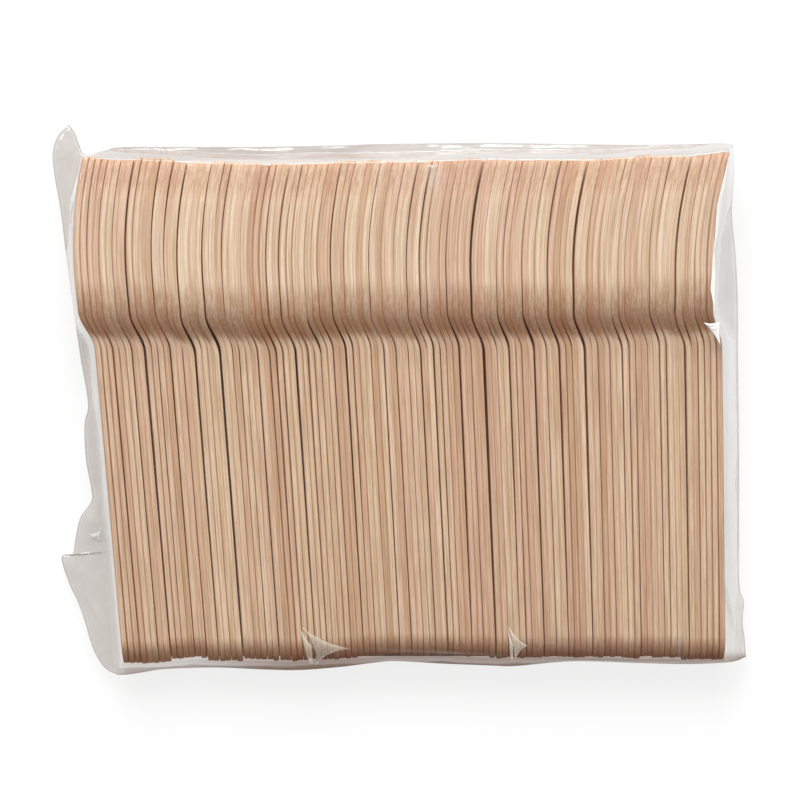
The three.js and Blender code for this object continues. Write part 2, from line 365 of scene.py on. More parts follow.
@dataclass(frozen=True)
class FilmFinish:
    """Clear polypropylene film: a thin mirror over a faint milky haze, with painted highlights on
    some folds and pleats and painted shadow along the bottom.
    """

    haze_colour: Colour = (0.62, 0.62, 0.60, 1.0)
    # Painted highlight: the next two colours are the white and the cream of the pleats.
    highlight_white: Colour = (1.0, 1.0, 0.98, 1.0)
    highlight_cream: Colour = (1.0, 0.92, 0.78, 1.0)
    single: Colour = (0.96, 0.96, 0.955, 1.0)
    # Bunched film and painted shadow: the brownish grey of bunched film, also used along the
    # bottom for the shadow of the handle ends.
    gathered_and_shadow_tint: Colour = (0.50, 0.40, 0.345, 1.0)
    thin_cloud: Colour = (0.6, 0.6, 0.6, 1.0)
    thick_cloud: Colour = (1.5, 1.5, 1.5, 1.0)
    mirror: float = 0.035
    dull_share: float = 0.85
    roughness: float = 0.09
    milk_roughness: float = 0.4
    patch_scale: float = 26.0
    crinkle_scale: float = 420.0

    def make(self) -> Material:
        """Build the film's material: clear, milky where its haze attribute says, and glossy."""
        n = Paint("clear_film")
        gather = n.read("gather")
        where = n.add("TexCoord").outputs["Object"]
        patches = n.noise(n.stretch(where, (1.0, 0.6, 1.0)), self.patch_scale, 3.0, 0.6)
        cloud = n.ramp(patches, (0.42, self.thin_cloud), (0.72, self.thick_cloud))
        # Bunched film and painted shadow: the film turns brownish grey where this value is high,
        # which along the bottom stands in for the shadow of the handle ends.
        clear = n.add("BsdfTransparent", n.mix(gather, self.single, self.gathered_and_shadow_tint))
        # Painted highlight: on the pleats the milky film turns white or cream, where the film
        # catches the light.
        colour = n.ramp(n.read("bright"), (0.0, self.haze_colour), (0.5, self.highlight_white),
                        (1.0, self.highlight_cream))
        milky = n.feed(n.add("BsdfPrincipled"), Base_Color=colour, Roughness=self.milk_roughness)
        cloudy = n.add("MixShader", n.math("MULTIPLY", n.read("haze"), cloud),
                       clear.outputs[0], milky.outputs[0])
        crinkle = n.noise(where, self.crinkle_scale)
        bump = n.feed(n.add("Bump"), Strength=0.25, Distance=0.0002, Height=crinkle).outputs[0]
        shine = n.feed(n.add("BsdfPrincipled"), Base_Color=WHITE, Metallic=1.0,
                       Roughness=self.roughness, Normal=bump)
        facing = n.feed(n.add("LayerWeight"), Blend=0.5, Normal=bump)
        slant = n.math("POWER", facing.outputs["Facing"], 5.0)
        mirror = n.math("MULTIPLY", n.math("MULTIPLY_ADD", slant, 1.0 - self.mirror, self.mirror),
                        n.math("MULTIPLY_ADD", gather, -self.dull_share, 1.0))
        return n.finish(n.add("MixShader", mirror, cloudy.outputs[0], shine.outputs[0]))


@dataclass(frozen=True)
class ForkShape:
    """One pressed wooden fork, flat in outline and bent along its length."""

    handle_length: float = 101.0
    neck_length: float = 9.0
    shoulder_length: float = 12.0
    bowl_length: float = 16.0
    tine_length: float = 22.0
    tip_taper: float = 12.0
    handle_end_width: float = 16.0
    neck_width: float = 11.0
    head_width: float = 26.0
    tip_width: float = 21.6
    slot_count: int = 3
    slot_tip_width: float = 2.8
    slot_root_width: float = 1.6
    thickness: float = 1.8
    bowl_drop: float = 3.6
    tip_rise: float = 5.8
    neck_ease: float = 1.6
    neck_fillet: float = 1.9
    edge_round: float = 0.3
    head_swell: float = 0.14
    shoulder_start: float = 103.2
    tine_round: float = 1.1

    @property
    def shoulder_end(self) -> float:
        """Distance from the handle's end to the full width of the head."""
        return self.handle_length + self.neck_length + self.shoulder_length

    @property
    def root_along(self) -> float:
        """Distance from the handle's end to the roots of the slots."""
        return self.shoulder_end + self.bowl_length

    @property
    def length(self) -> float:
        """The whole fork."""
        return self.root_along + self.tine_length

    def pressed_offset(self, along: Array) -> Array:
        """Return how far the wood's middle stands off the handle's line.

        Args:
            along: Distances from the handle's end.

        Returns:
            The offsets, less than zero on the bowl's rounded side.
        """
        start = self.handle_length - self.neck_ease
        down = smooth((along - start) / (self.neck_length + 2 * self.neck_ease))
        curl = np.maximum(0.0, (along - self.shoulder_end) / (self.length - self.shoulder_end))
        return self.tip_rise * curl ** 2 - self.bowl_drop * down

    def half_width(self, along: float) -> float:
        """Return half of the width over the outer edges at a distance along the fork."""
        radius = self.handle_end_width / 2
        if along < radius:
            return math.sqrt(max(radius ** 2 - (radius - along) ** 2, 0.0))
        if along < self.shoulder_start:
            share = (along - radius) / (self.shoulder_start - radius)
            return radius + (self.neck_width / 2 - radius) * share
        head = self.head_width / 2
        if along < self.shoulder_end:
            share = (along - self.shoulder_start) / (self.shoulder_end - self.shoulder_start)
            eased = share * (2 - share) - self.neck_fillet * (1 - share) ** 8 * share
            return self.neck_width / 2 + (head - self.neck_width / 2) * eased
        taper = (along - (self.length - self.tip_taper)) / self.tip_taper
        return head - (head - self.tip_width / 2) * max(taper, 0.0) ** 1.3

    def end_grain(self, along: float, step: float = 0.4) -> float:
        """Return how much of the edge runs across the grain, from 0 to 1."""
        low, high = max(along - step, 0.0), min(along + step, self.length)
        slope = abs(self.half_width(high) - self.half_width(low)) / (high - low)
        return slope / math.hypot(1.0, slope)

    def side_points(self) -> list[Pair]:
        """Return the right-hand edge from the handle's end up to the outer tine's round."""
        radius = self.handle_end_width / 2
        taper, top = self.length - self.tip_taper, self.length - self.tine_round
        stations = (*np.linspace(self.shoulder_start, self.shoulder_end, 14),
                    *np.linspace(self.shoulder_end + 4, taper, 3),
                    *np.linspace(taper, top, 6)[1:])
        return [*arc(0.0, radius, radius, -math.pi / 2, math.pi / 2, 12)[1:],
                *((self.half_width(a), float(a)) for a in stations)]

    def tine_points(self) -> list[Pair]:
        """Return the tips and slots from the right-hand tine to the left-hand one."""
        count = self.slot_count + 1
        tine = (self.tip_width - self.slot_count * self.slot_tip_width) / count
        corner = self.tine_round
        points = []
        for i in range(count):
            right = self.tip_width / 2 - i * (tine + self.slot_tip_width)
            for centre, start in ((right - corner, 0.0), (right - tine + corner, math.pi / 2)):
                points += arc(centre, self.length - corner, corner, start, math.pi / 2, 4)
            if i < self.slot_count:
                root = (0.5 - (i + 1) / count) * self.head_width
                points += arc(root, self.root_along, self.slot_root_width / 2, 0.0, -math.pi, 6)
        return points

    def outline(self) -> list[Pair]:
        """Return the closed outline seen from the fork's face."""
        side = self.side_points()
        mirrored = [(-x, y) for x, y in reversed(side)]
        return [(0.0, 0.0), *side, *self.tine_points()[1:-1], *mirrored]

    def stations(self) -> list[float]:
        """Return where the wood is divided along its length, closer where it bends."""
        handle = np.arange(8.0, self.handle_length - self.neck_ease, 9.0)
        neck = np.arange(self.handle_length - self.neck_ease, self.shoulder_end + 1.0, 1.3)
        head = np.arange(self.shoulder_end + 2.2, self.length - 1.0, 2.2)
        return [float(a) for a in (*handle, *neck, *head)]

    def mesh(self) -> Mesh:
        """Build one fork in metres: X through the wood, Y along it, Z across its width."""
        plate = bmesh.new()
        plate.faces.new([plate.verts.new((0.0, along, width)) for width, along in self.outline()])
        for along in self.stations():
            bmesh.ops.bisect_plane(plate, geom=[*plate.verts, *plate.edges, *plate.faces],
                                   plane_co=(0, along, 0), plane_no=(0, 1, 0), dist=1e-4)
        raised = bmesh.ops.extrude_face_region(plate, geom=list(plate.faces))
        moved = [g for g in raised["geom"] if isinstance(g, bmesh.types.BMVert)]
        bmesh.ops.translate(plate, verts=moved, vec=(self.thickness, 0, 0))
        bmesh.ops.translate(plate, verts=plate.verts, vec=(-self.thickness / 2, 0, 0))
        bmesh.ops.recalc_face_normals(plate, faces=plate.faces)
        rims = [e for e in plate.edges if e.calc_face_angle(0.0) > math.radians(60)]
        bmesh.ops.bevel(plate, geom=rims, offset=self.edge_round, segments=3, profile=0.5,
                        affect="EDGES", clamp_overlap=False)
        mesh = bpy.data.meshes.new("fork_shape")
        plate.to_mesh(mesh)
        plate.free()
        flat = np.empty(len(mesh.vertices) * 3)
        mesh.vertices.foreach_get("co", flat)
        mesh.attributes.new("grain", "FLOAT_VECTOR", "POINT").data.foreach_set("vector", flat)
        bent = flat.reshape(-1, 3)
        across, along = bent[:, 0].copy(), bent[:, 1].copy()
        store(mesh, across=across, along=along,
              end_grain=[self.end_grain(float(a)) for a in along])
        bent[:, 0] *= 1 + self.head_swell * smooth((along - self.handle_length)
                                                   / self.neck_length)
        bent[:, 0] += self.pressed_offset(along)
        mesh.vertices.foreach_set("co", flat * MM)
        mesh.shade_smooth()
        mesh.set_sharp_from_angle(angle=math.radians(38))
        return mesh


@dataclass
class ForkStack:
    """One hundred forks, fanned from the handles' ends and lying on their sides."""

    fork: ForkShape = field(default_factory=ForkShape)
    pair_count: int = 50
    pitch: float = 1.915
    lean_first: float = math.radians(5.05)
    lean_last: float = math.radians(0.7)
    rest_gap: float = 0.38
    seed: int = 11
    group_sizes: tuple[int, ...] = (3, 5, 6, 6, 6, 6, 7, 7, 7, 9, 8, 8, 8, 7, 7)
    group_pull: float = 0.022
    group_rock: float = math.radians(0.08)
    bow: float = 0.16
    slip: float = 0.35
    group_slip: Pair = (-0.2, 0.9)
    ends: tuple[Triple, ...] = (
        (0.0, -84.3, 76.6), (0.12, -82.8, 75.7), (0.28, -83.5, 74.4), (0.37, -82.5, 75.0),
        (0.45, -81.9, 75.2), (0.53, -81.6, 75.5), (0.62, -82.4, 76.2), (0.7, -82.1, 76.0),
        (0.8, -82.4, 75.9), (0.86, -82.7, 76.8), (0.94, -82.7, 77.2), (1.0, -82.7, 78.8),
    )
    scatter: float = 0.06
    lift: float = 0.2
    rock: float = math.radians(0.07)
    roll: float = math.radians(2.0)
    roll_change: float = 0.12
    grain_reach: float = 40.0
    grain_step: float = 23.0
    reach: float = 0.9
    close_share: float = 0.5
    close_rim: float = 0.3
    thinnest: float = 0.94
    thickest: float = 1.05

    def __post_init__(self) -> None:
        """Work out the tilt, the lean of each fork and the stack's place in the part."""
        half = self.fork.handle_end_width / 2
        rise = (self.fork.head_width - self.fork.handle_end_width) / 2
        self.tilt = math.atan(rise / (self.fork.shoulder_end - half))
        self.count = 2 * self.pair_count
        self.lean_step = (self.lean_first - self.lean_last) / (self.count - 1)
        self.centre_height = self.rest_gap + half
        self.shift = Vector((0.0, 0.0, 0.0))
        self.shift = self.find_shift()

    def start_x(self, index: int | Array) -> float | Array:
        """Return where a fork's handle ends along the stack, before the part's shift."""
        return (index - (self.count - 1) / 2) * self.pitch

    def lean(self, index: int | Array) -> float | Array:
        """Return how far a fork leans to the left."""
        return self.lean_first - index * self.lean_step

    def place(self) -> Matrix:
        """Return the move that lays the stack on its sides, at its place in the part."""
        half = self.fork.handle_end_width / 2
        height = self.centre_height - half * math.sin(self.tilt)
        lifted = Vector((self.shift.x, self.shift.y, height))
        return Matrix.Translation(lifted) @ Matrix.Rotation(self.tilt, 4, "X")

    def side_line(self, index: int, side: float) -> tuple[Array, Array]:
        """Return points along one face of a fork, seen from above.

        Args:
            index: The fork, from the left.
            side: Less than zero for its left face, more for its right one.

        Returns:
            Their x and their y in millimetres.
        """
        along = np.linspace(0.0, self.fork.length, 81)
        out = self.fork.pressed_offset(along) + side * self.fork.thickness / 2
        lean = self.lean(index)
        x = self.start_x(index) + out * math.cos(lean) - along * math.sin(lean)
        y = (out * math.sin(lean) + along * math.cos(lean)) * math.cos(self.tilt)
        return x + self.shift.x, y + self.shift.y

    def find_shift(self) -> Vector:
        """Return the step from the stack's own zero to the part's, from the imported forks."""
        mine = np.hstack([self.side_line(i, s) for i in (0, self.count - 1) for s in (-1.0, 1.0)])
        names = [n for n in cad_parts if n.startswith("fork_pair")]
        low = np.min([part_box(n)[0][:2] for n in names], axis=0) / MM
        high = np.max([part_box(n)[1][:2] for n in names], axis=0) / MM
        middle = (low + high) / 2 - (mine.min(axis=1) + mine.max(axis=1)) / 2
        return Vector((*middle, 0.0))

    def top_height(self, along: Array) -> Array:
        """Return the height of the wood's upper edge at distances along the forks."""
        half = np.array([self.fork.half_width(float(a)) for a in along])
        radius = self.fork.handle_end_width / 2
        return self.centre_height + (along - radius) * math.tan(self.tilt) + half

    def end_lines(self, share: Array) -> tuple[Array, Array]:
        """Return where the handles end and the tips end, at shares of the way across."""
        at, low, high = np.array(self.ends).T
        return np.interp(share, at, low), np.interp(share, at, high)

    def own_values(self) -> dict[str, Array]:
        """Return what differs from fork to fork: its place, turn, tone and warp."""
        rng = np.random.default_rng(self.seed)
        index = np.arange(self.count)
        pull, wedge, step = np.zeros((3, self.count))
        start = 0
        for size in self.group_sizes:
            group = index[start:start + size]
            pull[group] = (group.mean() - group) * self.group_pull
            wedge[group] = rng.normal(0.0, self.group_rock)
            step[group] = rng.uniform(*self.group_slip)
            start += size

        def near(width: float) -> Array:
            """Draw numbers near zero, seldom past the width."""
            return rng.normal(0.0, width * 0.5, self.count)

        def share() -> Array:
            """Draw numbers from 0 to 1."""
            return rng.uniform(0.0, 1.0, self.count)

        lean = self.lean(index)
        low, high = self.end_lines(np.linspace(0.0, 1.0, self.count))
        flat = self.fork.length * math.cos(self.tilt) * np.cos(lean)
        slip = near(self.slip).clip(-self.slip * 0.6, self.slip)
        # In made, side picks which face of a fork gets painted shade, and rim sets how strong its
        # painted edge and end-grain shade are.
        made = {
            "x": self.start_x(index) + pull + near(self.scatter),
            "y": low - self.shift.y + slip + step,
            "long": (high - low) / flat,
            "z": near(self.lift).clip(-self.lift, self.lift),
            "lean": lean + wedge + near(self.rock),
            "roll": self.roll * rng.normal(1.0, self.roll_change, self.count),
            "tone": share(),
            "tint": share() ** 1.5,
            "bow": near(self.bow),
            "thin": self.thinnest + (self.thickest - self.thinnest) * share() ** 0.5,
            "slip": rng.uniform(0.0, self.grain_reach, self.count),
            "side": rng.choice((-1.0, 1.0), self.count, p=(0.3, 0.7)),
            "rim": share(),
            "reach": near(self.reach).clip(-self.reach, self.reach),
        }
        for pair in np.flatnonzero(rng.uniform(0.0, 1.0, self.pair_count) < self.close_share):
            both = [2 * pair, 2 * pair + 1]
            middle = made["x"][both].sum() / 2
            made["x"][both] = middle + np.array([-0.5, 0.5]) * self.fork.thickness
            made["thin"][both] = 1.0
            # Touching pairs keep less of their painted edge shade.
            made["rim"][both] *= self.close_rim
            for name in ("lean", "bow"):
                made[name][both] = made[name][both[0]]
        return made

    def nesting_tree(self) -> NodeTree:
        """Build the Geometry Nodes tree that sets a fork at each point of a line."""
        tree = bpy.data.node_groups.new("nest_forks", "GeometryNodeTree")
        for name, kind in (("Geometry", "Geometry"), ("Fork", "Object"),
                           ("Fork Length", "Float"), ("Wood", "Material")):
            tree.interface.new_socket(name, in_out="INPUT", socket_type=f"NodeSocket{kind}")
        tree.interface.new_socket("Geometry", in_out="OUTPUT", socket_type="NodeSocketGeometry")
        n = Nodes(tree)

        def own(name: str, data_type: str = "FLOAT") -> Socket:
            """Return the value of an attribute of the points."""
            return n.add("GeometryNodeInputNamedAttribute", name,
                         data_type=data_type).outputs["Attribute"]

        def vector(*parts: object) -> Socket:
            """Return a vector from its three parts."""
            return n.add("CombineXYZ", *parts).outputs[0]

        given = n.add("NodeGroupInput").outputs
        fork = n.add("GeometryNodeObjectInfo", given["Fork"]).outputs["Geometry"]
        spread = n.feed(n.add("GeometryNodeInstanceOnPoints"), Points=given["Geometry"],
                        Instance=fork, Rotation=vector(0.0, own("roll"), own("lean")),
                        Scale=vector(own("thin"), own("long"), 1.0))
        whole = n.add("GeometryNodeRealizeInstances", spread.outputs[0])
        flat = n.add("SeparateXYZ", own("grain", "FLOAT_VECTOR")).outputs
        share = n.math("DIVIDE", flat["Y"], given["Fork Length"])
        wave = n.math("SINE", n.math("MULTIPLY", share, math.pi))
        bend = vector(n.math("MULTIPLY", wave, own("bow")),
                      n.math("MULTIPLY", wave, own("reach")), 0.0)
        warped = n.feed(n.add("GeometryNodeSetPosition"), Geometry=whole.outputs[0], Offset=bend)
        along = n.math("MULTIPLY", own("slip"), self.grain_step)
        moved = vector(n.math("ADD", flat["X"], own("slip")),
                       n.math("ADD", flat["Y"], along), flat["Z"])
        stored = n.feed(n.add("GeometryNodeStoreNamedAttribute", data_type="FLOAT_VECTOR",
                              domain="POINT"),
                        Geometry=warped.outputs[0], Name="grain", Value=moved)
        dressed = n.feed(n.add("GeometryNodeSetMaterial"), Geometry=stored.outputs[0],
                         Material=given["Wood"])
        n.add("NodeGroupOutput", dressed.outputs[0])
        return tree

    def seats(self, own: dict[str, Array], indexes: Sequence[int]) -> Object:
        """Make the points that the tree sets forks on, with each fork's own values.

        Args:
            own: The values from own_values.
            indexes: The forks wanted.

        Returns:
            An object that holds one point for each fork.
        """
        mesh = bpy.data.meshes.new("seats")
        mesh.from_pydata([[own[axis][i] * MM for axis in "xyz"] for i in indexes], [], [])
        for name in ("lean", "roll", "tone", "tint", "bow", "thin", "long", "slip", "side",
                     "rim", "reach"):
            scale = MM if name in ("bow", "reach") else 1.0
            store(mesh, **{name: [float(own[name][i]) * scale for i in indexes]})
        return add_object("seats", mesh)

    def build(self, wood: Material) -> list[Object]:
        """Build one piece for each pair of forks, in place of its CAD node.

        Args:
            wood: The wood's material.

        Returns:
            The pieces.
        """
        shape = add_object("fork_shape", self.fork.mesh())
        tree = self.nesting_tree()
        sockets = {s.name: s.identifier for s in tree.interface.items_tree if s.in_out == "INPUT"}
        own = self.own_values()
        pieces = []
        for pair in range(self.pair_count):
            holder = self.seats(own, (2 * pair, 2 * pair + 1))
            modifier = holder.modifiers.new("nest", "NODES")
            modifier.node_group = tree
            for name, value in (("Fork", shape), ("Fork Length", self.fork.length),
                                ("Wood", wood)):
                modifier[sockets[name]] = value
            depsgraph = bpy.context.evaluated_depsgraph_get()
            mesh = bpy.data.meshes.new_from_object(holder.evaluated_get(depsgraph))
            bpy.data.objects.remove(holder)
            for move in (Matrix.Scale(1 / MM, 4), self.place(), Matrix.Scale(MM, 4)):
                mesh.transform(move)
            mesh.name = f"forks_{pair + 1:02d}"
            piece = add_object(mesh.name, mesh)
            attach(piece, "root")
            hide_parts(f"fork_pair_{pair + 1:02d}")
            pieces.append(piece)
        bpy.data.objects.remove(shape)
        return pieces


@dataclass(frozen=True)
class Fold:
    """A crease of the film between two pixels of the photograph; its haze is part milky crease,
    part painted highlight.
    """

    start: Pair
    end: Pair
    height: float
    width: float
    haze: float = 0.0


@dataclass(frozen=True)
class Pleat:
    """A small patch where the film is folded over on itself, between corners in pixels; it is
    painted milky white or cream, a painted highlight where the fold catches the light.
    """

    corners: Pixels
    hollow: float
    haze: float
    # Painted highlight: a half gives white, one gives cream.
    bright: float = 1.0
    stand: float = 0.6
    lift: float = 0.3
    rings: int = 7
    steps: int = 10

    def outline(self, view: PhotoView) -> Array:
        """Return the patch's outline in millimetres, with sides that bow inwards."""
        at = np.array([view.at(px, py)[:2] for px, py in self.corners])
        centre = at.mean(axis=0)
        points = []
        for start, end in zip(at, np.roll(at, -1, axis=0)):
            middle = (start + end) / 2
            bend = middle + (centre - middle) * 2 * self.hollow
            for t in np.linspace(0.0, 1.0, self.steps, endpoint=False):
                points.append((1 - t) ** 2 * start + 2 * t * (1 - t) * bend + t * t * end)
        return np.array(points)


@dataclass(frozen=True)
class FilmTone:
    """How much of a tone each part of the film has, and a line of it along the seam."""

    rim: float
    rim_width: float
    parts: dict[str, float]

    def total(self, parts: dict[str, Array], away: Array) -> Array:
        """Return each point's tone, from how much of each part it is and how far inside."""
        line = self.rim * np.exp(-(away / self.rim_width) ** 2)
        return line + sum(share * parts[name] for name, share in self.parts.items())


@dataclass
class FilmBag:
    """The clear bag: an upper and a lower sheet that meet all round at the seam."""

    stack: ForkStack
    view: PhotoView
    haze: FilmTone = FilmTone(0.12, 0.5, {"plain": 0.004, "loose": 0.09, "fin": 0.08,
                                          "tips": 0.035})
    # The bottom and middle parts darken the film over and below the handle ends, as bunched film
    # and as painted shadow.
    gather: FilmTone = FilmTone(0.3, 0.35, {"loose": 0.05, "left": 0.15, "fin": 0.06,
                                            "bottom": 0.2, "middle": 0.52, "top": 0.13,
                                            "tips": 0.16})
    columns: int = 236
    rows: int = 196
    crowding: float = 0.62
    border_share: float = 0.16
    seam_outline: float = 10.0
    over_wood: float = 0.38
    rest_share: float = 0.3
    sag_share: float = 0.5
    upper_fall: float = 1.4
    lower_rise: float = 1.6
    floor_gap: float = 0.05
    film_gap: float = 0.05
    curve_steps: int = 12
    broad_bumps: Pair = (14.0, 1.7)
    fine_creases: Pair = (5.0, 8.2)
    fold_end: float = 0.35
    seam_rise: Pixels = ((0, 5), (45, 6.5), (120, 11.5), (160, 13))
    flap_pixel: Pair = (66.0, 575.0)
    flap_reach: Pair = (7.0, 22.0)
    flap_droop: float = 0.55
    left_room: float = 3.4
    right_room: float = 5.4
    top_room: float = 3.6
    bottom_room: float = 2.2
    left: Pixels = (
        (118, 675), (106, 669), (97, 657), (91, 643), (84, 619), (77, 600), (69, 583),
        (61.5, 556.5), (72.5, 555), (75, 541), (80, 518), (91, 502), (91.5, 490), (86, 460),
        (84.5, 425), (88, 403), (80.5, 358), (76, 327), (70, 284), (64, 238), (60, 207),
        (54.5, 176), (52.7, 152), (58.5, 135), (69, 125),
    )
    top: Pixels = (
        (69, 125), (75, 133), (79, 144), (83, 153), (90, 154.5), (107, 150), (129, 147),
        (240, 147), (315, 146), (390, 144), (490, 143), (560, 144), (640, 145), (700, 144),
        (722, 143), (733, 145),
    )
    right: Pixels = (
        (746, 657), (744.8, 640), (742.6, 621), (744, 602), (740.5, 592), (739, 575),
        (739, 520), (739, 440),
        (738, 360), (738, 310), (736, 260), (732, 215), (733, 190), (734, 165), (733, 145),
    )
    bottom: Pixels = (
        (118, 675), (128, 674.5), (142, 672.5), (165, 669), (215, 667.5), (265, 669.5),
        (300, 670), (340, 667), (372, 663), (395, 661), (440, 663.5), (490, 665.5),
        (515, 666), (565, 661.5), (600, 661.5), (640, 663), (690, 664), (730, 662), (746, 657),
    )
    # The folds' haze makes some creases milky and paints whitish highlights along others.
    folds: tuple[Fold, ...] = (
        Fold((515, 640), (592, 651), 0.3, 0.6, 0.08),
        Fold((350, 651), (505, 657), 0.15, 0.35, 0.22),
        Fold((680, 634), (682, 660), 0.4, 0.5, 0.25),
        Fold((728, 170), (731, 560), 0.5, 0.8, 0.08),
        Fold((726, 575), (742, 640), 0.7, 0.8, 0.2),
        Fold((97, 500), (84, 530), 0.5, 1.2, 0.12),
        Fold((90, 520), (98, 545), 0.5, 1.2, 0.12),
        Fold((70, 560), (98, 640), 0.6, 1.0, 0.2),
        Fold((60, 225), (80, 228), 0.4, 0.5, 0.15),
        Fold((430, 160), (438, 192), 0.3, 1.8, 0.16),
        Fold((150, 215), (162, 290), 0.2, 1.2, 0.10),
        Fold((205, 300), (280, 375), 0.2, 1.0, 0.05),
    )
    # Painted highlights: the pleats are milky white or cream patches where the film catches the
    # light, some on real folds.
    pleats: tuple[Pleat, ...] = (
        Pleat(((301, 629), (351, 651), (315, 668)), 0.36, 0.32, stand=0.3),
        Pleat(((298, 628), (311, 648), (313, 668), (308, 667)), 0.12, 0.4, stand=0.3),
        Pleat(((508, 626), (529, 648), (516, 665)), 0.3, 0.32, stand=0.3),
        Pleat(((508, 628), (514, 646), (514.5, 665), (512, 664)), 0.1, 0.42, stand=0.3),
        Pleat(((79, 172), (74, 200), (65.5, 226), (70.5, 196)), 0.06, 0.8, 0.5, 0.3),
        Pleat(((730, 151), (722.5, 208), (714, 254), (716.5, 206)), 0.03, 0.8, 0.5),
        Pleat(((714, 238), (716, 275), (715, 314), (710.5, 290)), 0.03, 0.8, 0.5),
        Pleat(((722, 320), (722, 346), (704, 322)), 0.25, 0.7, 0.5, 0.4),
        Pleat(((84, 537), (97, 532), (96, 543), (87, 541)), 0.12, 0.4, 0.5, 0.4),
    )

    def curve(self, points: Sequence[Pair], shares: Array) -> Array:
        """Return a smooth line through pixels, at shares of its length.

        Args:
            points: Pixels of the photograph, in order.
            shares: Shares of the whole length, from 0 to 1.

        Returns:
            Rows of x and y in millimetres.
        """
        at = np.array([self.view.at(px, py, self.seam_outline)[:2] for px, py in points])
        rises = self.seam_height(at[:, 0], at[:, 1])
        at = np.array([self.view.at(*p, float(h))[:2] for p, h in zip(points, rises)])
        padded = np.vstack([2 * at[0] - at[1], at, 2 * at[-1] - at[-2]])
        t = np.linspace(0.0, 1.0, self.curve_steps, endpoint=False)[:, None]
        line = [0.5 * (2 * b + (c - a) * t + (2 * a - 5 * b + 4 * c - d) * t * t
                       + (3 * b - a - 3 * c + d) * t ** 3)
                for a, b, c, d in zip(padded, padded[1:], padded[2:], padded[3:])]
        line = np.vstack([*line, padded[-2]])
        run = np.concatenate([[0.0], np.cumsum(np.hypot(*np.diff(line, axis=0).T))])
        run /= run[-1]
        return np.stack([np.interp(shares, run, line[:, k]) for k in (0, 1)], axis=1)

    def shares(self, count: int) -> Array:
        """Return shares from 0 to 1 that stand closer together near both ends."""
        t = np.linspace(0.0, 1.0, count)
        return t - self.crowding * np.sin(2 * math.pi * t) / (2 * math.pi)

    def plan(self) -> tuple[Array, Array]:
        """Return the sheet's grid seen from above, filled in between its four sides."""
        u, v = self.shares(self.columns), self.shares(self.rows)
        uu, vv = u[None, :, None], v[:, None, None]
        rims = {Side.LEFT: self.curve(self.left, v)[:, None],
                Side.RIGHT: self.curve(self.right, v)[:, None],
                Side.BOTTOM: self.curve(self.bottom, u)[None],
                Side.TOP: self.curve(self.top, u)[None]}
        low, high = rims[Side.BOTTOM][0], rims[Side.TOP][0]

        def flat(us: Array, vs: Array) -> Array:
            """Return points of the plain four-cornered sheet."""
            return ((low[0] * (1 - us) + low[-1] * us) * (1 - vs)
                    + (high[0] * (1 - us) + high[-1] * us) * vs)

        grid = flat(uu, vv)
        for side, share, us, vs in ((Side.LEFT, uu, 0.0, vv), (Side.RIGHT, 1 - uu, 1.0, vv),
                                    (Side.BOTTOM, vv, uu, 0.0), (Side.TOP, 1 - vv, uu, 1.0)):
            grid = grid + (1 - smooth(share / self.border_share)) * (rims[side] - flat(us, vs))
        return grid[..., 0], grid[..., 1]

    def rim_distance(self, x: Array, y: Array) -> Array:
        """Return each point's distance to the outline of the bag."""
        at = np.stack([x, y], axis=-1)
        least = np.full(x.shape, np.inf)
        for rx, ry in np.concatenate([at[0], at[-1], at[:, 0], at[:, -1]]):
            np.minimum(least, (x - rx) ** 2 + (y - ry) ** 2, out=least)
        return np.sqrt(least)

    def wood_around(self, x: Array, y: Array) -> tuple[Array, ...]:
        """Return how the wood lies about each point.

        Args:
            x: Points across.
            y: Points along.

        Returns:
            The wood's left side, its lower and upper end, the distance out of it, and the
            room there to the seam.
        """
        x_left, x_right = (np.interp(y, *self.stack.side_line(index, side)[::-1])
                           for index, side in ((0, -1.0), (self.stack.count - 1, 1.0)))
        low, high = self.stack.end_lines((x - x_left) / np.maximum(x_right - x_left, 1.0))
        outs = np.stack([x_left - x, x - x_right, low - y, y - high]).clip(0.0)
        rooms = np.array([self.left_room, self.right_room, self.bottom_room, self.top_room])
        room = (outs / (outs.sum(axis=0) + 1e-9) * rooms[:, None, None]).sum(axis=0)
        out = np.hypot(outs[:2].sum(axis=0), outs[2:].sum(axis=0))
        return x_left, low, high, out, np.maximum(room, 0.5)

    def crinkle(self, x: Array, y: Array, scale: float, layer: float) -> Array:
        """Return a smooth random pattern from about -1 to 1, with its bumps a scale apart."""
        made = [noise.noise(Vector((px / scale, py / scale, layer)))
                for px, py in zip(x.ravel(), y.ravel())]
        return np.array(made).reshape(x.shape)

    def fold_fields(self, x: Array, y: Array) -> tuple[Array, Array]:
        """Return the lift and the haze, milky crease and painted highlight, that the named folds
        give each point.
        """
        lift, haze = np.zeros((2, *x.shape))
        for fold in self.folds:
            a, b = self.view.at(*fold.start), self.view.at(*fold.end)
            along = b - a
            t = ((x - a.x) * along.x + (y - a.y) * along.y) / along.length_squared
            t = t.clip(0.0, 1.0)
            away = np.hypot(x - a.x - t * along.x, y - a.y - t * along.y)
            crest = self.fold_end + (1 - self.fold_end) * np.sin(math.pi * t)
            shape = np.exp(-(away / fold.width) ** 2) * crest
            lift += fold.height * shape
            haze += fold.haze * shape
        return lift, haze

    def seam_height(self, x: Array, y: Array) -> Array:
        """Return how high the seam stands: half-way up the wood, lower on the loose flap."""
        along = (y - self.stack.shift.y).clip(0.0, self.stack.fork.length)
        height = np.interp(along, *zip(*self.seam_rise))
        flap = self.view.at(*self.flap_pixel)
        across, down = self.flap_reach
        droop = np.exp(-(((x - flap.x) / across) ** 2 + ((y - flap.y) / down) ** 2))
        return height * (1 - self.flap_droop * droop)

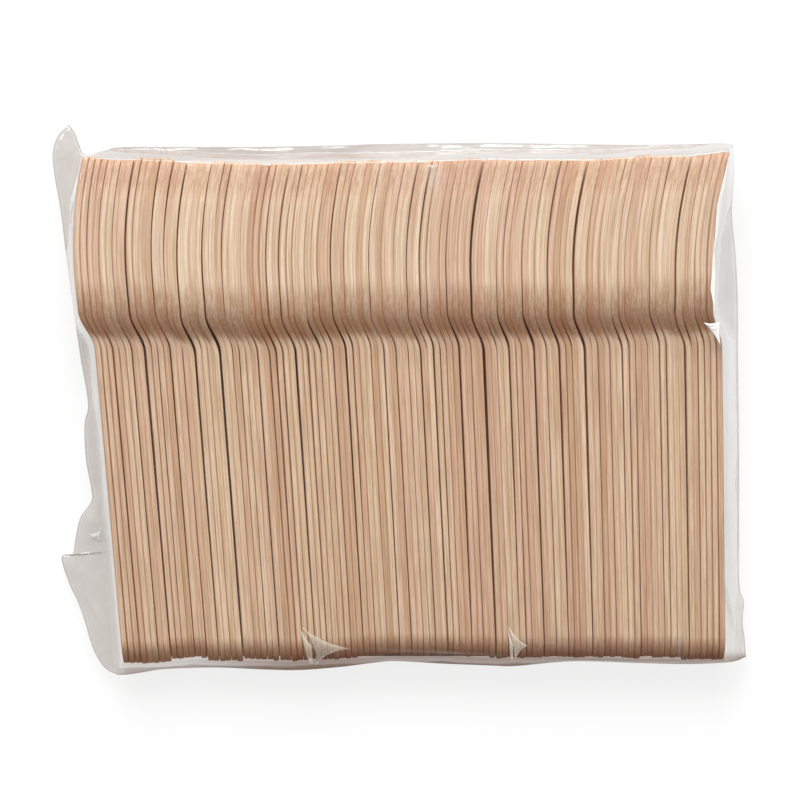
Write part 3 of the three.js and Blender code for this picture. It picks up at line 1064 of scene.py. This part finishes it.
    def sheets(self) -> dict[str, Array]:
        """Return the grid's x and y, the sheets' heights, how milky it is with painted highlights
        on folds, and how bunched it is with painted shadow at the bottom.
        """
        x, y = self.plan()
        fork = self.stack.fork
        rim = self.rim_distance(x, y)
        x_left, low, high, out, room = self.wood_around(x, y)
        room = np.minimum(room, out + rim + 1e-6)
        down = (out / room).clip(0.0, 1.0)
        along = ((y - low + 1.0) / (high - low) * fork.length).clip(0.0, fork.length)
        knots = np.linspace(0.0, fork.length, 161)
        wood = np.interp(along, knots, self.stack.top_height(knots))
        ends = np.array([fork.handle_end_width * self.rest_share, fork.shoulder_end])
        ends_height = self.stack.top_height(ends)
        taut = np.interp(along, ends, ends_height)
        spans = (along > ends[0]) & (along < ends[1])
        over = np.where(spans, np.maximum(wood, wood + (taut - wood) * self.sag_share), wood)
        over = np.maximum(over, ends_height[0] * 0.9) + self.over_wood
        seam = self.seam_height(x, y)
        loose = smooth(out / 2.0)
        fin = smooth((out - room) / 2.0 + 0.5) * smooth(rim / 1.5)
        lift, fold_haze_and_highlight = self.fold_fields(x, y)
        broad = self.crinkle(x, y, *self.broad_bumps)
        fine = 1.0 - 2.2 * np.abs(self.crinkle(x, y, *self.fine_creases))
        stir = broad * (0.25 + 0.9 * loose) + fine * (0.05 + 0.35 * loose)
        upper = over + (seam - over) * down ** self.upper_fall
        lower = self.floor_gap + (seam - self.floor_gap) * down ** self.lower_rise
        tight = smooth(rim / 1.2)
        gap = 0.12 + 0.25 * np.abs(broad)
        upper = upper + tight * (lift + gap * fin + stir.clip(-0.6 * loose, 1.2))
        lower = np.maximum(lower + tight * fin * (stir * 0.8 - gap), self.floor_gap)
        upper = np.maximum(upper, lower + self.film_gap * tight)
        from_tips = y - high
        parts = {"plain": np.ones_like(x), "loose": loose, "fin": fin,
                 "left": smooth(-x / 20.0) * loose,
                 "bottom": smooth((low + 3.0 - y) / 4.0) * smooth((x - x_left + 3.0) / 4.0),
                 "top": smooth((from_tips - 0.5) / 1.0) * (1 - smooth((-x - 97.0) / 2.0)),
                 "tips": smooth((from_tips + 14.0) / 8.0) * (1 - loose)}
        # The bottom and middle parts mark the film over and below the handle ends, darkened as
        # bunched film and as painted shadow.
        parts["middle"] = parts["bottom"] * smooth((x + 75.0) / 45.0)
        haze, gather = (tone.total(parts, rim) for tone in (self.haze, self.gather))
        return {"x": x, "y": y, "upper": upper, "lower": lower, "haze": haze + fold_haze_and_highlight,
                "gather": gather.clip(0.0, 1.0)}

    def pleat_sheet(self, pleat: Pleat, grid: dict[str, Array]) -> tuple[Array,
                                                                              list, Array]:
        """Build a pleat as a thin lens that lies on the upper sheet.

        Args:
            pleat: The pleat.
            grid: The sheets from the sheets method.

        Returns:
            Its points in millimetres, its faces and its haze at each point.
        """
        rim = pleat.outline(self.view)
        centre = rim.mean(axis=0)
        count = len(rim)
        part = np.arange(1, pleat.rings + 1) / pleat.rings
        rings = centre + (rim - centre) * part[:, None, None]
        flat = np.vstack([centre, rings.reshape(-1, 2)])
        share = np.concatenate([[0.0], np.repeat(part, count)])
        base = np.empty(len(flat))
        for i, (px, py) in enumerate(flat):
            away = ((grid["x"] - px) ** 2 + (grid["y"] - py) ** 2).ravel()
            near = np.argpartition(away, 4)[:4]
            weight = 1.0 / (away[near] + 0.02)
            base[i] = (grid["upper"].ravel()[near] * weight).sum() / weight.sum()
        level = base + (base.max() - base) * pleat.stand
        top = level + 0.06 + pleat.lift * (1 - share ** 2)
        inner = share < 1 - 1e-6
        low_index = np.arange(len(flat))
        top_index = low_index.copy()
        top_index[inner] = len(flat) + np.arange(inner.sum())
        points = np.concatenate([np.column_stack([flat, level + 0.05]),
                                 np.column_stack([flat, top])[inner]])
        faces = []
        for index, way in ((top_index, 1), (low_index, -1)):
            for k in range(count):
                after = (k + 1) % count
                faces.append(index[[0, 1 + k, 1 + after]][::way])
                for a in range(1, 1 + (pleat.rings - 1) * count, count):
                    b = a + count
                    faces.append(index[[a + k, b + k, b + after, a + after]][::way])
        strength = pleat.haze * (0.72 + 0.28 * share ** 4)
        return points, faces, np.concatenate([strength, strength[inner]])

    def build(self, film: Material) -> Object:
        """Build the bag as closed film with its pleats, in place of its CAD node.

        Args:
            film: The film's material.

        Returns:
            The bag.
        """
        grid = self.sheets()
        inner = np.zeros(grid["x"].shape, bool)
        inner[1:-1, 1:-1] = True
        top_index = np.arange(inner.size).reshape(inner.shape)
        low_index = top_index.copy()
        low_index[inner] = inner.size + np.arange(inner.sum())

        def both(top: Array, low: Array) -> Array:
            """Return the upper sheet's values, then those inside the lower sheet's seam."""
            return np.concatenate([top[inner | True], low[inner]])

        def quads(index: Array) -> Array:
            """Return the grid's faces as rows of four points."""
            ring = (index[:-1, :-1], index[:-1, 1:], index[1:, 1:], index[1:, :-1])
            return np.stack(ring, axis=-1).reshape(-1, 4)

        points = both(*(np.stack([grid["x"], grid["y"], grid[sheet]], axis=-1)
                        for sheet in ("upper", "lower")))
        haze, gather = (both(grid[name], grid[name]) for name in ("haze", "gather"))
        faces = [*quads(top_index).tolist(), *quads(low_index)[:, ::-1].tolist()]
        # Each pleat's painted highlight is stored for its points.
        bright = [0.0] * len(points)
        for pleat in self.pleats:
            made, made_faces, made_haze = self.pleat_sheet(pleat, grid)
            faces.extend([[int(i) + len(points) for i in f] for f in made_faces])
            points = np.concatenate([points, made])
            haze = np.concatenate([haze, made_haze])
            bright += [pleat.bright] * len(made)
        mesh = bpy.data.meshes.new("bag_of_film")
        mesh.from_pydata((points * MM).tolist(), [], faces)
        store(mesh, haze=haze, bright=bright,
              gather=np.pad(gather, (0, len(points) - len(gather))))
        mesh.shade_smooth()
        mesh.materials.append(film)
        bag = add_object("bag_of_film", mesh)
        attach(bag, "root")
        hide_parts("film_bag")
        return bag


@dataclass(frozen=True)
class Studio:
    """A plain pale floor and soft light from above and from the tips' side."""

    floor_size: float = 6.0
    floor_dark: Colour = (0.84, 0.84, 0.84, 1.0)
    floor_light: Colour = (0.9, 0.9, 0.9, 1.0)
    floor_glow: float = 0.8
    glow_from: float = 0.25
    glow_to: float = 0.8
    pack_middle: Pair = (0.004, -0.0024)
    pack_half: Pair = (0.091, 0.0798)
    dim_side: float = 0.22
    bright_side: float = 0.75
    right_side: float = 0.4
    overhead: float = 0.25
    key_power: float = 32.5
    key_size: float = 0.9
    key_place: Triple = (-0.15, 1.15, 1.02)

    def hang_lamp(self) -> None:
        """Hang a square lamp that faces the pack from beyond the tips."""
        data = bpy.data.lights.new("key", "AREA")
        data.shape = "SQUARE"
        data.energy = self.key_power
        data.size = self.key_size
        lamp = add_object("key", data)
        lamp.location = self.key_place
        lamp.rotation_euler = (-Vector(self.key_place)).to_track_quat("-Z", "Y").to_euler()

    def make_floor(self) -> None:
        """Lay the floor: nearly white to the camera round the pack, and it takes the shadow."""
        n = Paint("pale_floor")
        where = n.add("TexCoord").outputs["Object"]
        shade = n.ramp(n.noise(where, 40.0), (0.0, self.floor_dark), (1.0, self.floor_light))
        surface = n.add("BsdfDiffuse", shade)
        path = n.add("LightPath").outputs
        seen = n.math("MAXIMUM", path["Is Camera Ray"], path["Is Glossy Ray"])
        seen = n.math("MAXIMUM", seen, path["Is Transmission Ray"])
        parts = n.add("SeparateXYZ", where).outputs
        outside = []
        for part, middle, half in zip((parts["X"], parts["Y"]), self.pack_middle, self.pack_half):
            away = n.math("ABSOLUTE", n.math("SUBTRACT", part, middle))
            outside.append(n.math("GREATER_THAN", away, half))
        away = n.add("VectorMath", where, operation="LENGTH").outputs["Value"]
        glowing = n.ramp(away, (self.glow_from, (*[self.floor_glow] * 3, 1.0)),
                         (self.glow_to, WHITE))
        share = n.math("MULTIPLY", n.math("MULTIPLY", seen, glowing),
                       n.math("MAXIMUM", *outside))
        both = n.add("MixShader", share, surface.outputs[0],
                     n.add("Emission", WHITE, 1.0).outputs[0])
        half = self.floor_size / 2
        mesh = bpy.data.meshes.new("floor")
        mesh.from_pydata([(-half, -half, 0), (half, -half, 0), (half, half, 0),
                          (-half, half, 0)], [], [(0, 1, 2, 3)])
        mesh.materials.append(n.finish(both))
        add_object("floor", mesh)

    def make_sky(self) -> None:
        """Light the pack softly, most from the tips' side, and less from straight above."""
        world = bpy.data.worlds.new("soft_room")
        world.use_nodes = True
        n = Nodes(world.node_tree)

        def span(value: Socket, *ends: float) -> Socket:
            """Return a value mapped from a low and a high end to two others."""
            return n.add("MapRange", value, *ends).outputs[0]

        parts = n.add("SeparateXYZ", n.add("TexCoord").outputs["Generated"]).outputs
        path = n.add("LightPath").outputs
        side = n.math("ADD", span(parts["Y"], -0.6, 0.9, self.dim_side, self.bright_side),
                      span(parts["X"], 0.0, 1.0, 0.0, self.right_side))
        mirrored = n.math("MULTIPLY", side, span(parts["Z"], 0.5, 0.95, 1.0, self.overhead))
        glossy = path["Is Glossy Ray"]
        lit = n.math("ADD", n.math("MULTIPLY", mirrored, glossy),
                     n.math("MULTIPLY", side, n.math("SUBTRACT", 1.0, glossy)))
        seen = n.math("MAXIMUM", path["Is Camera Ray"], path["Is Transmission Ray"])
        n.feed(n.tree.nodes["Background"], Color=WHITE, Strength=n.math("MAXIMUM", lit, seen))
        bpy.context.scene.world = world

    def build(self) -> None:
        """Set up the floor, the sky and the lamp."""
        self.make_floor()
        self.make_sky()
        self.hang_lamp()
        bpy.context.scene.view_settings.view_transform = "Standard"


def main() -> None:
    """Build the forks, the bag and the studio."""
    view = PhotoView()
    view.make_camera()
    stack = ForkStack()
    forks = stack.build(BirchFinish().make())
    LOG.info("forks: %d pieces, %d faces each", len(forks), len(forks[0].data.polygons))
    bag = FilmBag(stack, view).build(FilmFinish().make())
    LOG.info("bag: %d faces", len(bag.data.polygons))
    Studio().build()


if __name__ == "__main__":
    logging.basicConfig(level=logging.INFO, format="%(name)s: %(message)s")
    main()
